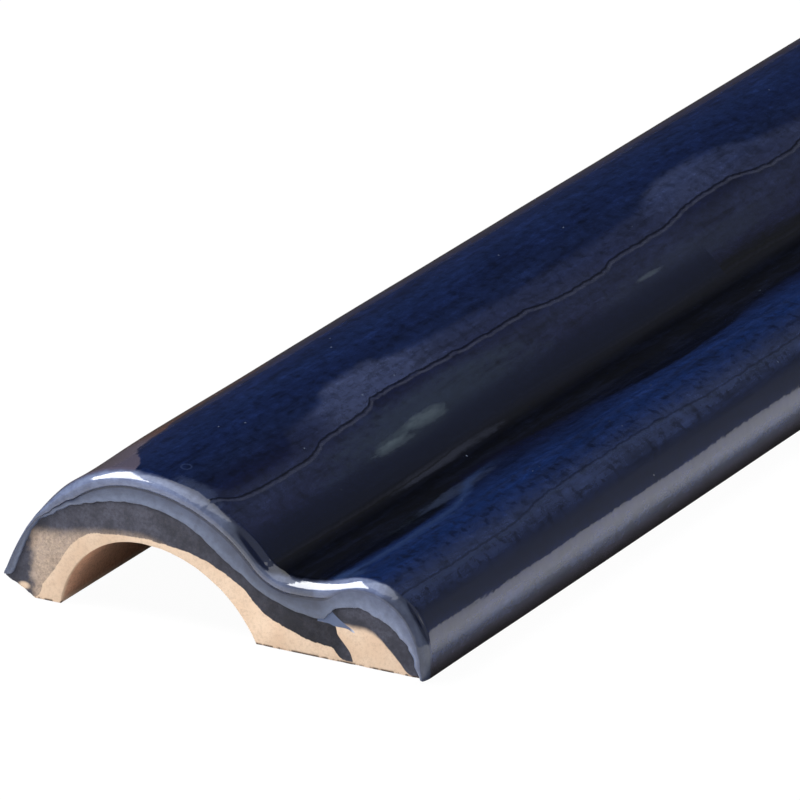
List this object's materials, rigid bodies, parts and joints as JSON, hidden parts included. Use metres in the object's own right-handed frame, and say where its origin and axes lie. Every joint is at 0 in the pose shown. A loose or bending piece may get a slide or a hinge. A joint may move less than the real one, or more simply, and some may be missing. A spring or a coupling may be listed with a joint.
{
  "type": "chair rail tile",
  "caption": "Ceramic chair rail trim tile with an ogee face, rolled glazed ends and a hollow back, set in a row to cap wall tiling.",
  "frame": {"origin": "centre of the base plane, midway along the tile and midway between its straight edge and its free edge", "axes": "+X from the free edge under the large roll to the straight edge under the small bead, +Y along the tile, +Z from the wall side out to the crest of the roll"},
  "size_m": [0.05, 0.2, 0.0163],
  "materials": {
    "glaze": "gloss",
    "bisque": "matte"
  },
  "bodies": {
    "root": {"chair_rail_tile": "glaze"}
  },
  "joints": []
}
